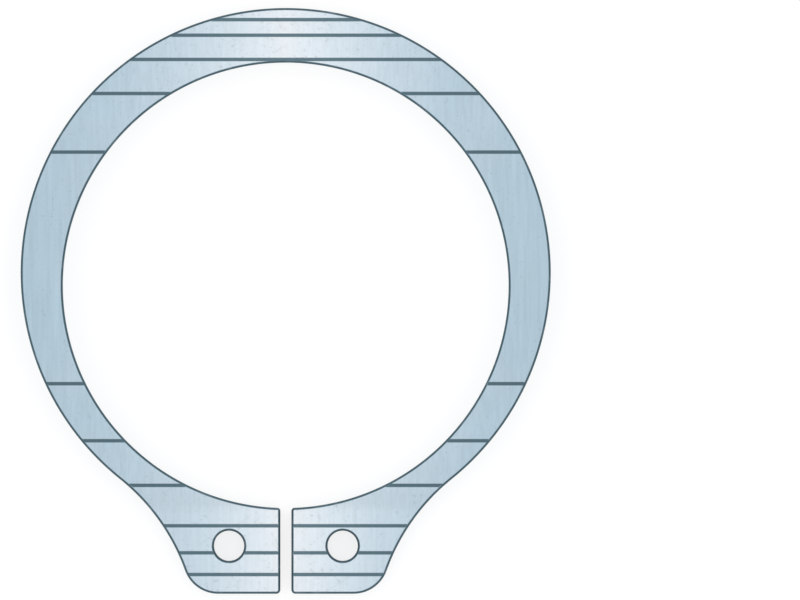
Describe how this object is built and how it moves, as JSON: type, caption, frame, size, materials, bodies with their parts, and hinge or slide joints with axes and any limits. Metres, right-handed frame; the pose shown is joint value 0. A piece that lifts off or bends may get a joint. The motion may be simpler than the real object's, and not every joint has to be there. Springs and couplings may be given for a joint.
{
  "type": "bowed retaining ring",
  "caption": "Bowed external retaining ring of spring steel: tapered arms arch between flat lugs with plier holes, grip a shaft's groove and take up end play.",
  "frame": {"origin": "on the shaft's axis, in the plane that the lugs and the far edge rest on", "axes": "+Z along the shaft's axis and up through the arched face, the lugs point to -Y, and the ring is symmetric about X = 0"},
  "size_m": [0.021, 0.0232, 0.002],
  "materials": {
    "spring_steel": "spring steel, tumbled and zinc plated with a clear blue passivate, satin"
  },
  "bodies": {
    "root": {"retaining_ring": "spring_steel"}
  },
  "joints": []
}
